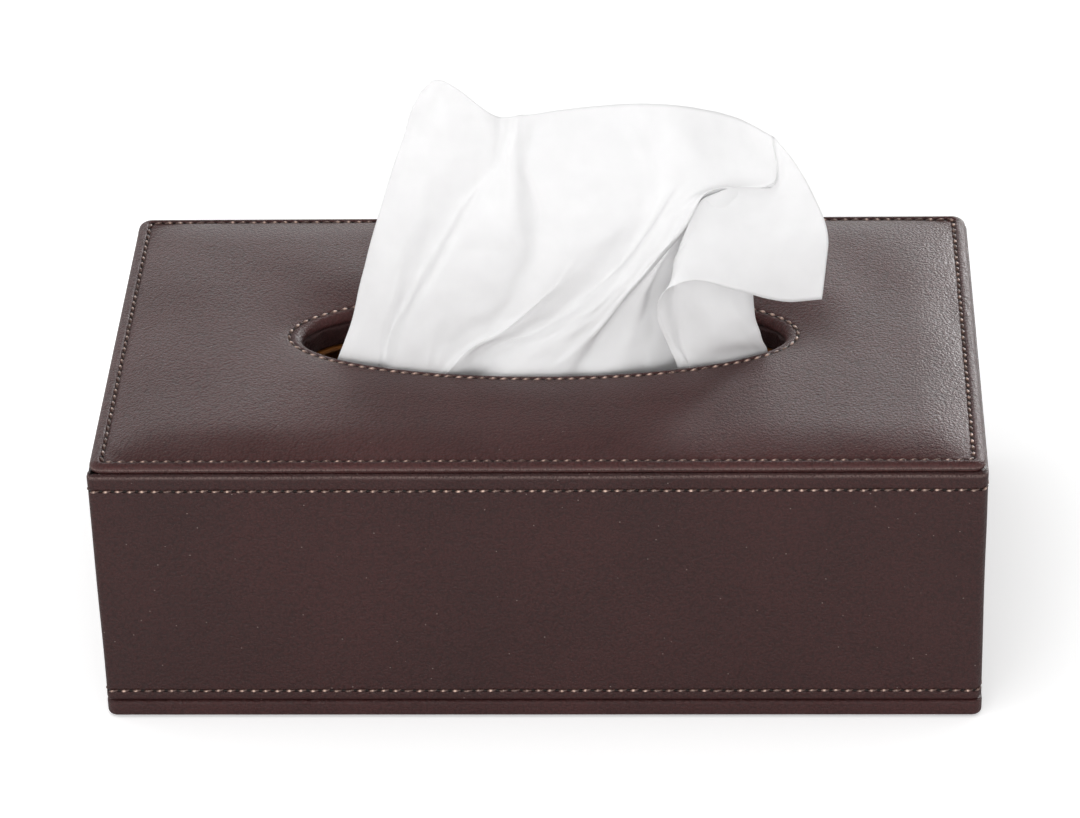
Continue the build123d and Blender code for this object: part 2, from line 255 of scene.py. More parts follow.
def dress(piece, body, slot, material, *nodes):
    """Gives a new piece its material, its body and the CAD nodes that it stands for."""
    piece.data.materials.append(material)
    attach(piece, body)
    if nodes:
        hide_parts(*nodes)
    return piece


def refinish(material, *nodes):
    """Gives CAD nodes, whose shape is right as it is, a material of this script."""
    for node in nodes:
        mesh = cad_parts[node].data
        mesh.materials.clear()
        mesh.materials.append(material)


# A slightly lighter copy, tone 1.04: painted light on the base plate's edge strip.
leather = brown_leather("brown_leather", tone=1.04)

plate_low, plate_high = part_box("base_cover")
board_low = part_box("base_board")[0]
plate_steps = (150, 84, 10)


def plate_outline(inset):
    """The plate's plan outline, drawn in by an inset."""
    return rounded_rectangle(plate_high.x - inset, plate_high.y - inset,
                             max(PLATE_CORNER - inset, 0.0012), plate_steps)


bend = np.linspace(0.0, np.pi / 2, 6)
plate_rows = [ring(plate_outline(PLATE_HEM), plate_high.z)]
for a in bend:
    plate_rows.append(ring(plate_outline(PLATE_EDGE * (1 - np.sin(a))),
                           plate_high.z - PLATE_EDGE * (1 - np.cos(a))))
for a in bend[::-1]:
    plate_rows.append(ring(plate_outline(PLATE_EDGE * (1 - np.sin(a))),
                           plate_low.z + PLATE_EDGE * (1 - np.cos(a))))
plate_rows.append(ring(plate_outline(PLATE_HEM), plate_low.z))
under_skin = LEATHER_THICK - CLEAR
plate_rows += [ring(plate_outline(inset), height) for inset, height in (
    (PLATE_HEM, board_low.z - CLEAR), (under_skin, board_low.z - CLEAR),
    (under_skin, plate_high.z - under_skin), (PLATE_HEM, plate_high.z - under_skin))]
base_leather = surface("base_leather", plate_rows, round_rows=True, inward=True)
dress(base_leather, "shell", "leather_brown", leather, "base_cover")


def fibre_felt(name, colour, hair, size):
    """Matt felt or suede: a cloudy nap over short fibres, a little lighter along the nap."""
    recipe = new_recipe(name, colour, 0.95, Specular_IOR_Level=0.15)
    nap = recipe.texture("TexNoise", Scale=90.0, Detail=4.0, Roughness=0.6)["Fac"]
    fibre = recipe.texture("TexNoise", Scale=size, Detail=4.0, Roughness=0.75, Distortion=1.5)["Fac"]
    share = recipe.spread(recipe.math("ADD", nap, fibre), 0.75, 1.3)
    return recipe.finish(recipe.mix(share, colour, hair), recipe.bump(fibre, 0.7, 0.0003))


def pressed_board(name, colour, fleck, size):
    """Fibre board or card: pressed fibres of two tones, matt, with a faint rough face."""
    recipe = new_recipe(name, colour, 0.8, Specular_IOR_Level=0.25)
    fibre = recipe.texture("TexNoise", Scale=size, Detail=5.0, Roughness=0.7, Distortion=0.8)["Fac"]
    cloud = recipe.texture("TexNoise", Scale=45.0, Detail=2.0)["Fac"]
    share = recipe.spread(recipe.math("MULTIPLY_ADD", cloud, 0.35, fibre), 0.45, 0.9)
    return recipe.finish(recipe.mix(share, colour, fleck), recipe.bump(fibre, 0.4, 0.0002))


black_felt = fibre_felt("black_felt", (0.012, 0.011, 0.011, 1.0), (0.035, 0.032, 0.031, 1.0), 1500.0)
raw_board = pressed_board("fibre_board", (0.36, 0.23, 0.13, 1.0), (0.50, 0.35, 0.21, 1.0), 700.0)
refinish(black_felt, "base_felt")
refinish(raw_board, "base_board")

# --- Floor of the room for the drawer --------------------------------------------------------
# Brown suede is glued on the base board inside the walls. A strip of brown card across it near
# the open end stops the drawer from coming right out.

suede = fibre_felt("brown_suede", (0.040, 0.024, 0.020, 1.0), (0.075, 0.048, 0.040, 1.0), 2200.0)
brown_card = pressed_board("brown_card", (0.26, 0.155, 0.085, 1.0), (0.38, 0.25, 0.15, 1.0), 1100.0)
refinish(suede, "floor_lining")
refinish(brown_card, "stop_strip")

# --- Walls -----------------------------------------------------------------------------------
# Three fibre boards stand on the base. One band of leather goes round the front, the right end
# and the back without a joint, turns in round the board ends at the open left end, and is sewn
# along its top and bottom hems with two-ply thread. Two steel discs in the end board hold the
# drawer's magnets.

STITCH_PITCH_WALL = 0.00345
HEM_TOP = 0.0050
HEM_BOTTOM = 0.0033
THREAD_RADIUS = 0.00030
STITCH_SLANT = 0.16                    # radians off the row
STITCH_COVER = 0.74                    # share of the pitch that shows as thread
STITCH_RISE = 0.00030
STITCH_SINK = 0.00016
THREAD_SEAT = 0.00020                  # how deep a row lies in its groove
BAND_EDGE = 0.0011
BAND_CORNER = 0.003
BAND_THICK = 0.00074
BAND_STEP = 0.0011
HEM_END = -0.1136                      # how far in the band is turned round the open end
ROW_MARGIN = 0.0012                    # finely divided strip on each side of a row of stitches
ROW_GROOVE = 0.00028
MOUTH_TURN = 0.0012
FOLD_TURN = 0.0018
JOINT_CLEAR = 0.00003
LOOSE = 0.00010                        # how unevenly the leather lies on its board

wall_low, wall_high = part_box("wall_cover")
base_gap = plate_high.z + JOINT_CLEAR
top_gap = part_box("front_wall_board")[1].z - JOINT_CLEAR


def arc(centre, radius, start, stop, steps):
    """Points of a plan arc from one angle to another, in degrees."""
    angle = np.radians(np.linspace(start, stop, steps + 1))
    return np.stack([centre[0] + radius * np.cos(angle), centre[1] + radius * np.sin(angle)], 1)


def run(start, stop, step):
    """Points of a straight run between two plan points, both left out."""
    start = np.array(start)
    stop = np.array(stop)
    count = max(int(round(np.linalg.norm(stop - start) / step)), 2)
    return start + np.linspace(0.0, 1.0, count + 1)[1:-1, None] * (stop - start)


def travelled(points):
    """Distance along an open line of points, from its first point."""
    return np.concatenate([[0.0], np.cumsum(np.linalg.norm(np.diff(points, axis=0), axis=1))])


def slow_waves(x, y, seed, waves=7, reach=0.05):
    """Slow smooth unevenness between about -1 and 1: a sum of plane waves of random direction
    and phase, with wavelengths from a third of the reach to the whole reach."""
    pick = np.random.default_rng(seed)
    total = np.zeros(np.broadcast(x, y).shape)
    for _ in range(waves):
        heading = pick.uniform(0, 2 * np.pi)
        length = reach * pick.uniform(0.33, 1.0)
        phase = pick.uniform(0, 2 * np.pi)
        total += np.sin(2 * np.pi * (x * np.cos(heading) + y * np.sin(heading)) / length + phase)
    return total / waves ** 0.5 / 1.3


mouth_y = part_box("floor_lining")[1].y
outer_y = wall_high.y
end_x = wall_low.x
right_x = wall_high.x
half_path = np.concatenate([
    run((HEM_END, -mouth_y), (end_x + MOUTH_TURN, -mouth_y), 0.0016),
    arc((end_x + MOUTH_TURN, -mouth_y - MOUTH_TURN), MOUTH_TURN, 90, 180, 6),
    arc((end_x + FOLD_TURN, -outer_y + FOLD_TURN), FOLD_TURN, 180, 270, 6),
    run((end_x + FOLD_TURN, -outer_y), (right_x - BAND_CORNER, -outer_y), BAND_STEP),
    arc((right_x - BAND_CORNER, -outer_y + BAND_CORNER), BAND_CORNER, -90, 0, 12),
])
end_run = run((right_x, -outer_y + BAND_CORNER), (right_x, outer_y - BAND_CORNER), BAND_STEP)
band_path = np.concatenate([[(HEM_END, -mouth_y)], half_path, end_run,
                            half_path[::-1] * (1, -1), [(HEM_END, mouth_y)]])
heading = np.gradient(band_path, axis=0)
heading /= np.linalg.norm(heading, axis=1, keepdims=True)
band_out = np.stack([heading[:, 1], -heading[:, 0]], 1)
band_far = travelled(band_path)
row_z = (wall_low.z + HEM_BOTTOM, wall_high.z - HEM_TOP)
n_band = round(band_far[-1] / STITCH_PITCH_WALL)


def near_rows(z):
    """Signed distance in height to the nearer of the band's two rows of stitches."""
    gaps = np.stack([z - row_z[0], z - row_z[1]])
    nearest = np.argmin(np.abs(gaps), axis=0)
    return np.take_along_axis(gaps, nearest[None], 0)[0]


beside_row = np.linspace(-ROW_MARGIN, ROW_MARGIN, 7)
level = np.concatenate([
    np.linspace(wall_low.z + BAND_EDGE, row_z[0] - ROW_MARGIN, 4)[:-1],
    row_z[0] + beside_row,
    np.linspace(row_z[0] + ROW_MARGIN, row_z[1] - ROW_MARGIN, 30)[1:-1],
    row_z[1] + beside_row,
    np.linspace(row_z[1] + ROW_MARGIN, wall_high.z - BAND_EDGE, 5)[1:],
])
groove = ROW_GROOVE * np.exp(-(near_rows(level) / 0.00045) ** 2)
turn = np.linspace(0.0, np.pi / 2, 5)
inside = BAND_THICK - 0.00015
edge_in = inside * (1 - np.sin(turn))
edge_up = BAND_EDGE * (1 - np.cos(turn))
over_top = [BAND_THICK - 0.00012, 0.0030, 0.0030, BAND_THICK + 0.00004]
over_z = top_gap + np.array([0.00008, 0.00008, 0.00004, 0.00004])
profile_in = np.concatenate([[BAND_THICK, inside], edge_in[:-1], groove, edge_in[:-1][::-1], over_top])
profile_z = np.concatenate([[base_gap, base_gap], wall_low.z + edge_up[:-1], level,
                            wall_high.z - edge_up[:-1][::-1], over_z])
uneven = slow_waves(band_far[None, :], profile_z[:, None], seed=3, reach=0.07)
on_face = np.clip((profile_z - wall_low.z) / 0.006, 0, 1)
on_face *= np.clip((wall_high.z - profile_z) / 0.006, 0, 1)
inset = profile_in[:, None] + LOOSE * (1 + uneven) * on_face[:, None]
wave = 0.00012 * slow_waves(band_far, 0 * band_far, seed=5, reach=0.12)
at_top = (1 - on_face) * (profile_z < top_gap) * (profile_z > 0.04)
band_rows = np.empty((len(profile_z), len(band_path), 3))
band_rows[..., :2] = band_path[None] - inset[..., None] * band_out[None]
band_rows[..., 2] = profile_z[:, None] + wave[None, :] * at_top[:, None]
band_seam = np.empty(band_rows.shape[:2] + (2,))
band_seam[..., 0] = band_far[None] / band_far[-1] * n_band
band_seam[..., 1] = near_rows(profile_z)[:, None] * 1000
band = surface("wall_band", band_rows, seam=band_seam, round_rows=True, round_stations=False)
# The band's rolled top edge is painted paler: a painted highlight, partly rubbing too.
fold_highlight = np.exp(-((profile_z - wall_high.z + 0.0004) / 0.00035) ** 2) * (profile_in < 0.0004)
mark_points(band, "wear_and_highlight", 0.9 * fold_highlight[:, None] + 0 * band_far)
# A darker copy, tone 0.88: painted shade on the upright walls.
wall_leather = brown_leather("brown_leather_walls", seam_rows=True, tone=0.88)
dress(band, "shell", "leather_brown", wall_leather, "wall_cover")


def thread_row(name, centres, along, outward, pitch, thick=1.0):
    """One row of stitches as real thread. Each stitch is a short arch of two-ply thread whose
    ends dive into the leather: a tube along a half wave, with a two-lobed section that turns
    once along it. centres, along and outward are stitches x 3, along already a unit vector."""
    rings = 7
    sides = 8
    step = np.linspace(-0.5, 0.5, rings)
    lift = STITCH_RISE * np.cos(np.pi * step) - STITCH_SINK
    girth = thick * THREAD_RADIUS * np.array([0.55, 0.9, 1.0, 1.05, 1.0, 0.9, 0.55])
    angle = np.linspace(0, 2 * np.pi, sides, endpoint=False)
    lobes = 1 + 0.20 * np.cos(2 * (angle[None] - 3.4 * step[:, None]))
    pick = np.random.default_rng(len(centres))
    sideways = np.cross(outward, along)
    tilt = STITCH_SLANT + pick.normal(0, 0.035, (len(centres), 1))
    line = along * np.cos(tilt) + sideways * np.sin(tilt)
    sideways = np.cross(outward, line)
    length = pitch * pick.normal(STITCH_COVER, 0.02, (len(centres), 1))
    shift = pick.normal(0, 0.00005, (len(centres), 1)) * sideways
    spine = (centres + shift)[:, None] + (length * line)[:, None] * step[None, :, None]
    spine = spine + outward[:, None] * lift[None, :, None]
    across = (girth[:, None] * lobes * np.cos(angle))[None, ..., None] * sideways[:, None, None]
    upward = (girth[:, None] * lobes * np.sin(angle))[None, ..., None] * outward[:, None, None]
    tubes = spine[:, :, None] + across + upward
    tips = spine[:, [0, -1]] + (length * line)[:, None] * np.array([-0.04, 0.04])[None, :, None]
    points = np.concatenate([tubes.reshape(len(centres), -1, 3), tips], 1)
    r, s = np.meshgrid(np.arange(rings - 1), np.arange(sides), indexing="ij")
    t = (s + 1) % sides
    quads = np.stack([r * sides + s, r * sides + t, (r + 1) * sides + t, (r + 1) * sides + s], -1)
    k = np.arange(sides)
    last = (rings - 1) * sides
    head = np.stack([(k + 1) % sides, k, np.full(sides, rings * sides)], 1)
    tail = np.stack([last + k, last + (k + 1) % sides, np.full(sides, rings * sides + 1)], 1)
    per_stitch = points.shape[1]
    faces = []
    for block in (quads.reshape(-1, 4), head, tail):
        start = np.arange(len(centres))[:, None, None] * per_stitch
        faces += (block[None] + start).reshape(-1, block.shape[1]).tolist()
    row = new_piece(name, points, faces)
    along_stitch = np.concatenate([np.repeat(step, sides), [-0.5, 0.5]])
    mark_points(row, "along_stitch", np.tile(along_stitch, len(centres)))
    return row


def sewing_thread(name, reach, least, most):
    """Waxed dark brown thread with fine twist lines and a shine. Along the back of each stitch, as far
    as a reach, it is painted pale where a slow noise lies between least and most: a painted highlight."""
    recipe = new_recipe(name, (0.16, 0.085, 0.062, 1.0), 0.32, Specular_IOR_Level=0.6)
    tones = recipe.texture("TexNoise", Scale=700.0, Detail=2.0)["Fac"]
    fibre = recipe.texture("TexNoise", Scale=6000.0, Detail=2.0)["Fac"]
    along = recipe.add("Attribute", attribute_name="along_stitch").outputs["Fac"]
    # The pale colour towards the back of each stitch is a painted highlight.
    off = recipe.math("ABSOLUTE", recipe.math("ADD", along, 0.12))
    back = recipe.spread(off, 0.02, reach, 1.0, 0.0)
    share = recipe.math("MULTIPLY", back, recipe.spread(tones, least, most))
    colour = recipe.mix(share, (0.088, 0.046, 0.035, 1.0), (0.68, 0.47, 0.38, 1.0))
    return recipe.finish(colour, recipe.bump(fibre, 0.5, 0.0001))


thread = sewing_thread("sewing_thread", 0.26, 0.40, 0.62)


def spaced(line_far, total, count, values):
    """Values at the middle of each of count equal steps along a line."""
    middle = (np.arange(count) + 0.5) * total / count
    return np.stack([np.interp(middle, line_far, v) for v in values.T], 1)


def unit(vectors):
    """Vectors brought to length one."""
    return vectors / np.linalg.norm(vectors, axis=-1, keepdims=True)


for label, z in (("bottom", row_z[0]), ("top", row_z[1])):
    flat = spaced(band_far, band_far[-1], n_band, band_path)
    out = unit(spaced(band_far, band_far[-1], n_band, band_out))
    ahead = unit(spaced(band_far, band_far[-1], n_band, heading))
    outside = (flat[:, 1] ** 2 > (mouth_y + 0.002) ** 2) | (flat[:, 0] > 0)
    flat, out, ahead = flat[outside], out[outside], ahead[outside]
    row = thread_row(f"wall_stitches_{label}", ring(flat - THREAD_SEAT * out, z), ring(ahead, 0.0),
                     ring(out, 0.0), STITCH_PITCH_WALL)
    dress(row, "shell", "leather_brown", thread)

refinish(raw_board, "end_wall_board", "front_wall_board", "back_wall_board", "inner_top_board")
refinish(suede, "wall_lining", "inner_top_lining")


def bare_metal(name, colour, roughness, streak):
    """Plain metal with fine turned or rolled streaks."""
    recipe = new_recipe(name, colour, roughness, Metallic=1.0)
    rub = recipe.texture("TexNoise", Scale=streak, Detail=4.0, Roughness=0.7)["Fac"]
    rough = recipe.spread(rub, 0.3, 0.7, roughness * 0.7, roughness * 1.3)
    recipe.fill(recipe.skin, "Roughness", rough)
    return recipe.finish(colour, recipe.bump(rub, 0.15, 0.0001))


refinish(bare_metal("sheet_steel", (0.53, 0.53, 0.54, 1.0), 0.38, 900.0), "steel_discs")

# --- Opening collar --------------------------------------------------------------------------
# A strip of the same leather lines the oval hole through the carcass top and hangs a little
# below it, so that fingers and tissue don't catch on the raw board.

OVAL_STATIONS = 320

collar_low, collar_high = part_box("opening_collar")
oval_angle = np.linspace(0, 2 * np.pi, OVAL_STATIONS, endpoint=False)


def ellipse(a, b, angle=oval_angle):
    """Plan points of an ellipse with half axes a and b."""
    return np.stack([a * np.cos(angle), b * np.sin(angle)], 1)


collar_a = collar_high.x - 0.001
collar_b = collar_high.y - 0.001
collar_rows = []
collar_foot = [(0.00105, 0.0002), (0.0006, 0.0), (0.0002, 0.0001), (0.0, 0.0005), (0.0, 0.002),
               (0.0, 0.0035), (0.0, 0.005)]
collar_head = [(0.0, -0.0006), (0.0002, -0.0002), (0.0005, 0.0), (0.0009, 0.0), (0.00093, 0.0003),
               (0.00105, 0.0003)]
for out, z in ([(out, collar_low.z + up) for out, up in collar_foot]
               + [(out, collar_high.z + up) for out, up in collar_head]):
    ripple = 0.00012 * np.sin(23 * oval_angle + 1.7 * np.sin(3 * oval_angle)) * (out < 0.0001)
    outline = ellipse(collar_a + out, collar_b + out) * (1 + ripple / collar_b)[:, None]
    collar_rows.append(ring(outline, z))
collar = surface("collar_leather", collar_rows, round_rows=True, inward=True)
# The same leather made darker, tone 0.75: painted shade inside the hole.
dress(collar, "shell", "leather_brown", brown_leather("brown_leather_shaded", grain=0.7, tone=0.75),
      "opening_collar")

# --- Padded top ------------------------------------------------------------------------------
# A thin board with a foam pad is wrapped in leather and glued on the carcass, leaving a dark
# line all round. A row of stitches 2.8 mm in from the edge, 3.6 mm at the ends, and another round
# the oval hold the pad down, so the leather swells between them and rolls over into the hole.

STITCH_PITCH_TOP = 0.00325
STITCH_INSET = 0.0028
TOP_LIFT = 0.00024                     # how far the top's rows stand over the furrow
TOP_THREAD = 1.12                      # their thickness beside that of the walls' rows
RIM_ENDS = 0.0036
RIM_SIDES = 0.0028
END_SHIFT = 0.0008
BEAD = 0.00035
BEAD_WIDE = 0.0020
BEAD_DROP = 0.0019
SHOULDER = 0.0020
SHOULDER_RUN = 0.016
SWELL = 0.0010
SWELL_RUN = 0.038
PANEL_CORNER = 0.0038
EDGE_ROLL = 0.0009
FIELD_INSET = 0.0060                   # where the rows along the border give way to the field's
FIELD_ROWS = 45

panel_low, panel_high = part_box("top_cover")
flange_z = panel_low.z + 0.0026
rim_z = panel_low.z + 0.0031
hole_a = collar_a + 0.0003
hole_b = collar_b + 0.0004
panel_steps = (168, 92, 10)
half_panel = (panel_high.x, panel_high.y)


def panel_outline(inset):
    """The top panel's plan outline, drawn in by an inset. Towards both ends the inset grows,
    because the row of stitches is sewn a little further in there."""
    outline = rounded_rectangle(half_panel[0] - inset, half_panel[1] - inset,
                                max(PANEL_CORNER - inset, 0.0016), panel_steps)
    outline[:, 0] *= 1 - END_SHIFT * inset / STITCH_INSET / half_panel[0]
    return outline


def oval_outline(share, angle):
    """Outlines round the hole: share 0 is its edge, 1 the row of stitches."""
    return ellipse(hole_a + RIM_ENDS * share, hole_b + RIM_SIDES * share, angle)


border_line = panel_outline(STITCH_INSET)
station_angle = np.arctan2(border_line[:, 1] / half_panel[1], border_line[:, 0] / half_panel[0])


def from_border(x, y):
    """Distance in from the border row of stitches."""
    reach_x = half_panel[0] - STITCH_INSET - END_SHIFT - np.abs(x)
    reach_y = half_panel[1] - STITCH_INSET - np.abs(y)
    softness = 0.004
    both = -softness * np.log(np.exp(-reach_x / softness) + np.exp(-reach_y / softness))
    return np.clip(both, 0, None)


def from_oval(x, y):
    """Distance out from the row of stitches round the oval: the ellipse's implicit value over
    the length of its slope."""
    a = hole_a + RIM_ENDS
    b = hole_b + RIM_SIDES
    value = np.sqrt((x / a) ** 2 + (y / b) ** 2)
    slope = np.sqrt((x / a ** 2) ** 2 + (y / b ** 2) ** 2) / np.maximum(value, 0.5)
    return np.clip((value - 1) / slope, 0, None)


def crown_height(plan):
    """Height of the stuffed leather: it climbs from both rows of stitches on a steep shoulder
    and then a long swell, each an arch: one minus the square of what is left of its run."""
    x, y = plan.T
    border = from_border(x, y)
    oval = from_oval(x, y)
    climb = 0
    for height, run_in in ((SHOULDER, SHOULDER_RUN), (SWELL, SWELL_RUN)):
        arch = [1 - np.clip(1 - far / run_in, 0, 1) ** 2 for far in (border, oval)]
        climb = climb + height * arch[0] * arch[1]
    ground = flange_z + (rim_z - flange_z) * np.exp(-oval / 0.010)
    uneven = 0.00016 * slow_waves(x, y, seed=11, reach=0.060) * np.clip(climb / SWELL, 0, 1)
    return ground + climb + uneven


def groove_at(distance):
    """Depth of the furrow that the stitches pull into the leather."""
    return 0.00034 * np.exp(-(distance / 0.0005) ** 2)


def sewn_loop(line, pitch):
    """A closed row of stitches: the distance travelled at each point of its line, with the first
    point again at the end, and the number of stitches."""
    far = travelled(np.vstack([line, line[:1]]))
    return far, round(far[-1] / pitch)


def stitches_on(line, far, count):
    """The middles of the stitches on a closed line, and their headings."""
    flat = spaced(far, far[-1], count, np.vstack([line, line[:1]]))
    return flat, unit(np.roll(flat, -1, 0) - np.roll(flat, 1, 0))


turn = np.linspace(0, np.pi / 2, 8)
edge_rows = [(0.009, panel_low.z), (0.0018, panel_low.z), (0.0013, panel_low.z + 0.00015)]
edge_rows += [(EDGE_ROLL * (1 - np.sin(a)), panel_low.z + 0.0002 + EDGE_ROLL * (1 - np.cos(a)))
              for a in turn[1:]]
edge_rows += [(BEAD_WIDE * (1 - np.sin(a)), flange_z + BEAD - BEAD_DROP * (1 - np.cos(a)))
              for a in turn[::-1]]
edge_rows += [(inset, None) for inset in (0.0022, 0.0024, 0.0026, 0.0028, 0.0031, 0.0034, 0.0038,
                                          0.0044, 0.0052, FIELD_INSET)]
top_rows = []
for inset, z in edge_rows:
    outline = panel_outline(inset)
    if z is None:
        off_bead = min((inset - BEAD_WIDE) / (STITCH_INSET - BEAD_WIDE), 1)
        z = (crown_height(outline) - groove_at(inset - STITCH_INSET)
             + BEAD * (0.5 + 0.5 * np.cos(np.pi * off_bead)))
    top_rows.append((ring(outline, z), inset - STITCH_INSET))
outer = panel_outline(FIELD_INSET)
inner = oval_outline(1.6, station_angle)
for share in np.linspace(0, 1, FIELD_ROWS + 1)[1:]:
    eased = share - 0.10 * np.sin(2 * np.pi * share)
    plan = outer + eased * (inner - outer)
    height = crown_height(plan) - groove_at(0.6 * RIM_ENDS) * (share == 1)
    top_rows.append((ring(plan, height), NO_SEAM))
rim_rows = [(share, None) for share in (1.4, 1.25, 1.15, 1.08, 1.0, 0.92)]
rim_rows += [(0.82, 0.00004), (0.70, -0.00002), (0.58, 0.0), (0.46, 0.00010), (0.36, 0.00026),
             (0.26, 0.00052), (0.17, 0.00090), (0.09, 0.00135), (0.03, 0.00180), (0.0, 0.00225),
             (0.0, 0.00265), (0.05, 0.00295), (0.2, 0.0031)]
for share, drop in rim_rows:
    outline = oval_outline(share, station_angle)
    gap = (share - 1) * (RIM_ENDS + RIM_SIDES) / 2
    if drop is None:
        z = crown_height(outline) - groove_at(gap)
    else:
        z = rim_z - drop
    top_rows.append((ring(outline, z), gap))
lined = oval_outline(2.4, station_angle)
top_rows.append((ring(lined, panel_low.z), NO_SEAM))
for share in np.linspace(0, 1, 10)[1:]:
    plan = lined + share * (panel_outline(0.012) - lined)
    top_rows.append((ring(plan, panel_low.z + 0.0001), NO_SEAM))
top_grid = np.array([points for points, gap in top_rows])

border_far, n_border = sewn_loop(border_line, STITCH_PITCH_TOP)
oval_line = oval_outline(1.0, station_angle)
oval_far, n_oval = sewn_loop(oval_line, STITCH_PITCH_TOP)
n_border_rows = len(edge_rows) + FIELD_ROWS // 2
top_seam = np.empty((len(top_rows), len(border_far), 2))
top_seam[..., 1] = np.array([gap for points, gap in top_rows])[:, None] * 1000
top_seam[:n_border_rows, :, 0] = border_far / border_far[-1] * n_border
top_seam[n_border_rows:, :, 0] = oval_far / oval_far[-1] * n_oval
top_leather = surface("top_leather", top_grid, seam=top_seam, round_rows=True, inward=True)
# The top panel's rolled edge above the dark line is painted paler: a painted highlight, partly rubbing
# too.
fold_highlight = np.exp(-((top_grid[:len(edge_rows), :, 2] - panel_low.z - 0.0014) / 0.00035) ** 2)
fold_highlight *= (np.array(edge_rows, float)[:, 0] < 0.0007)[:, None]
mark_points(top_leather, "wear_and_highlight",
            np.vstack([0.9 * fold_highlight, np.zeros(top_grid[len(edge_rows):, :, 2].shape)]))
# The same leather made much lighter, tone 1.46: painted light where the light falls on the top.
padded_leather = brown_leather("brown_leather_padded_lit", seam_rows=True, tone=1.46, shine=0.33,
                               grain=1.1)
dress(top_leather, "shell", "leather_brown", padded_leather, "top_cover")

# The oval's thread is painted pale further along each stitch: more painted highlight.
oval_thread = sewing_thread("sewing_thread_lit", 0.42, 0.32, 0.52)
for label, line, far, count, twine in (("border", border_line, border_far, n_border, thread),
                                       ("oval", oval_line, oval_far, n_oval, oval_thread)):
    flat, ahead = stitches_on(line, far, count)
    height = crown_height(flat) - groove_at(0.0) + TOP_LIFT
    row = thread_row(f"{label}_stitches", ring(flat, height), ring(ahead, 0.0),
                     np.tile([0.0, 0.0, 1.0], (count, 1)), STITCH_PITCH_TOP, TOP_THREAD)
    dress(row, "shell", "leather_brown", twine)

soft_foam = fibre_felt("cream_foam", (0.70, 0.66, 0.55, 1.0), (0.80, 0.77, 0.68, 1.0), 1800.0)
refinish(brown_card, "top_board")
refinish(soft_foam, "top_foam")

# --- Drawer ----------------------------------------------------------------------------------
# A low tray of boards wrapped in dark paper and lined with suede. Its front is a board wrapped
# in the same leather, sewn round its border, with a half-moon notch for a finger. It runs on two
# felt glides, a card strip underneath meets the stop, and two magnets in its tail hold it shut.

NOTCH = 0.014
FRONT_CORNER = 0.0012
FRONT_EDGE = 0.0009
FRONT_HEM = 0.0036
FRONT_FIELD = 0.0060                   # where the rows along the hem give way to the plain field
SPINE_HALF = 0.05                      # half length of the line that the field's rows close on

wrapped = pressed_board("paper_wrapped_board", (0.050, 0.031, 0.026, 1.0),
                        (0.080, 0.053, 0.045, 1.0), 2600.0)
refinish(wrapped, "drawer_floor", "drawer_front_side", "drawer_back_side", "drawer_tail")
refinish(suede, "drawer_lining")
refinish(black_felt, "drawer_glides")
refinish(brown_card, "catch_strip")
refinish(raw_board, "drawer_front_board")
refinish(bare_metal("magnet_plating", (0.62, 0.62, 0.64, 1.0), 0.2, 300.0), "drawer_magnets")

front_low, front_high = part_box("drawer_front_cover")


def front_outline(inset):
    """The drawer front seen from outside, as (y, z) points, drawn in by an inset: a rounded
    rectangle whose top edge is cut by the notch's arc. Anticlockwise from the bottom left."""
    y = front_high.y - inset
    bottom = front_low.z + inset
    top = front_high.z - inset
    radius = max(FRONT_CORNER - inset, 0.0003)
    notch = NOTCH + inset
    drop = front_high.z - top
    meet = np.degrees(np.arcsin(min(drop / notch, 0.9)))
    notch_arc = arc((0.0, front_high.z), notch, -meet, -180 + meet, 48)
    left_top = (-y + radius, top)
    return np.concatenate([
        arc((-y + radius, bottom + radius), radius, 180, 270, 6),
        run((-y + radius, bottom), (y - radius, bottom), (2 * y - 2 * radius) / 96),
        arc((y - radius, bottom + radius), radius, -90, 0, 6),
        run((y, bottom + radius), (y, top - radius), (top - bottom - 2 * radius) / 56),
        arc((y - radius, top - radius), radius, 0, 90, 6),
        run((y - radius, top), notch_arc[0], (y - radius - notch_arc[0][0]) / 40),
        notch_arc,
        run(notch_arc[-1], left_top, (y - radius - notch_arc[0][0]) / 40),
        arc((-y + radius, top - radius), radius, 90, 180, 6),
        run((-y, top - radius), (-y, bottom + radius), (top - bottom - 2 * radius) / 56),
    ])


front_x = front_low.x
back_x = front_high.x - 0.0001
middle = front_outline(FRONT_FIELD)
spine_z = (front_low.z + front_high.z) / 2 - 0.004
spine = np.column_stack([np.clip(middle[:, 0], -SPINE_HALF, SPINE_HALF), np.full(len(middle), spine_z)])


def front_ring(x, outline):
    """Points of an outline of the drawer front at one depth, or at one for each point."""
    return np.column_stack([np.broadcast_to(x, len(outline)), outline])


front_rows = [(front_ring(back_x, middle + share * (spine - middle)), NO_SEAM)
              for share in np.linspace(1, 0, 9)]
rolled = [(0.0004, back_x), (0.0, back_x - 0.0004)]
rolled += [(FRONT_EDGE * (1 - np.cos(a)), front_x + FRONT_EDGE * (1 - np.sin(a)))
           for a in np.linspace(0, np.pi / 2, 6)]
front_rows += [(front_ring(x, front_outline(inset)), NO_SEAM) for inset, x in rolled]
for inset in (0.0016, 0.0024, 0.0029, 0.0033, 0.0036, 0.0039, 0.0043, 0.0050, FRONT_FIELD):
    gap = inset - FRONT_HEM
    front_rows.append((front_ring(front_x + groove_at(gap), front_outline(inset)), gap))
for share in np.linspace(0, 1, 16)[1:]:
    plan = middle + share * (spine - middle)
    uneven = 0.00010 * slow_waves(*plan.T, seed=8, reach=0.05)
    front_rows.append((front_ring(front_x + np.abs(uneven) * min(3 * share, 1), plan), NO_SEAM))
front_line = front_outline(FRONT_HEM)
front_far, n_front = sewn_loop(front_line, STITCH_PITCH_WALL)
front_seam = np.empty((len(front_rows), len(front_far), 2))
